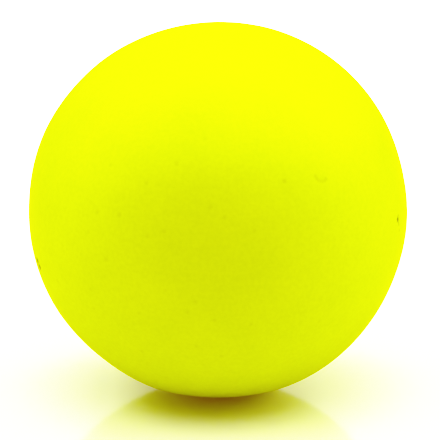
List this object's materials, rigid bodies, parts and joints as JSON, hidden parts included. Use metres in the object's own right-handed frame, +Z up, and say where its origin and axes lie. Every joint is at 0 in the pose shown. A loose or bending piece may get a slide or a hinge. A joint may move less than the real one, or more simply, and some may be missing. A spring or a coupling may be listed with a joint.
{
  "type": "petanque jack",
  "caption": "Small hardwood ball turned along the grain, with a white undercoat and a satin fluorescent yellow coat of paint, thrown as the target ball in petanque.",
  "frame": {"origin": "centre of the ball", "axes": "+X along the wood's grain, which was the lathe's axis, towards the end that lies on the right in the picture; +Z up as the jack lies in the picture; -Y towards the viewer"},
  "size_m": [0.03, 0.03, 0.03],
  "materials": {
    "bare_wood": "matte",
    "white_undercoat": "matte",
    "fluorescent_paint": "satin"
  },
  "bodies": {
    "root": {"wood_ball": "bare_wood", "white_undercoat": "white_undercoat", "yellow_paint_coat": "fluorescent_paint"}
  },
  "joints": []
}
